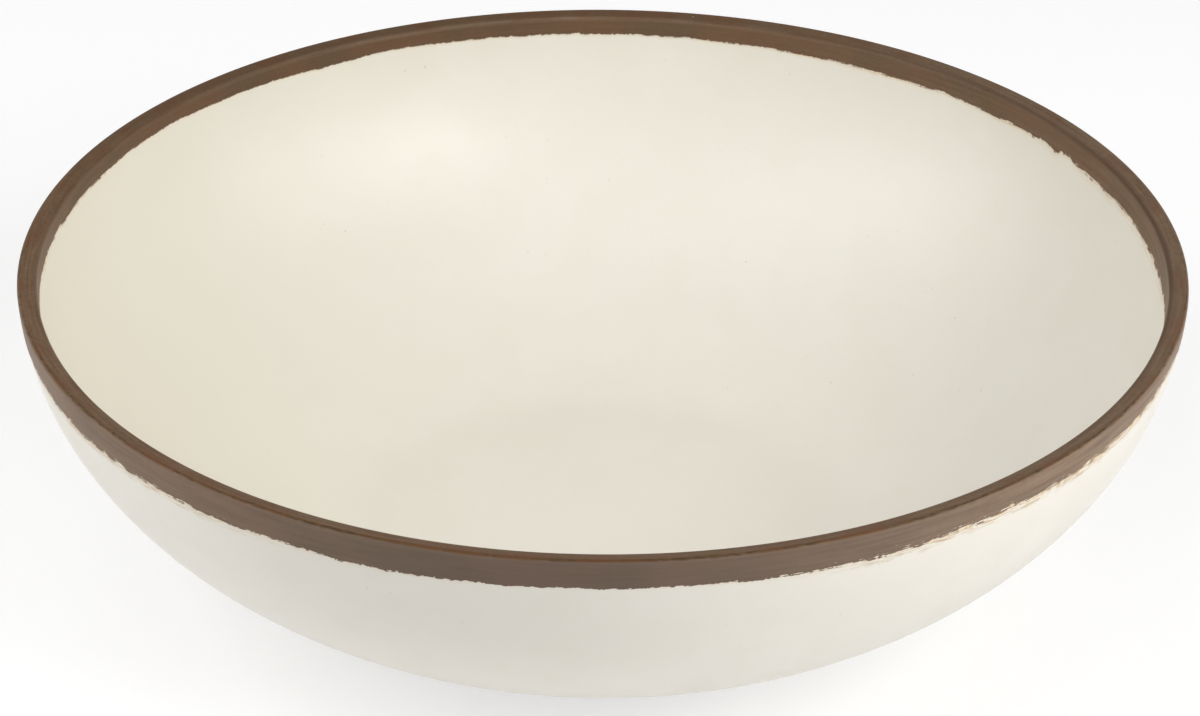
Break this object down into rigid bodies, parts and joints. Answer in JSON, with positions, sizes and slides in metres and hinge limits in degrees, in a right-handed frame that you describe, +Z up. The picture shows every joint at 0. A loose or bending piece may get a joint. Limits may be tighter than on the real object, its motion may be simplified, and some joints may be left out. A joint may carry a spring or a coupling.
{
  "type": "serving bowl",
  "caption": "Wide, low round serving bowl in cream-glazed stoneware with a brown glazed lip and a low turned foot ring.",
  "frame": {"origin": "centre of the foot ring, in the plane that the bowl stands on", "axes": "+Z up, along the axis that the bowl turns about; X and Y are any two directions square to it"},
  "size_m": [0.3558, 0.3558, 0.104],
  "materials": {
    "bare_stoneware": "unglazed, fine matt",
    "cream_glaze": "satin with fine specks",
    "brown_glaze": "satin, brushed on"
  },
  "bodies": {
    "root": {"stoneware_body": "bare_stoneware", "inner_glaze": "cream_glaze", "outer_glaze": "cream_glaze", "rim_glaze": "brown_glaze", "foot_well_glaze": "cream_glaze"}
  },
  "joints": []
}
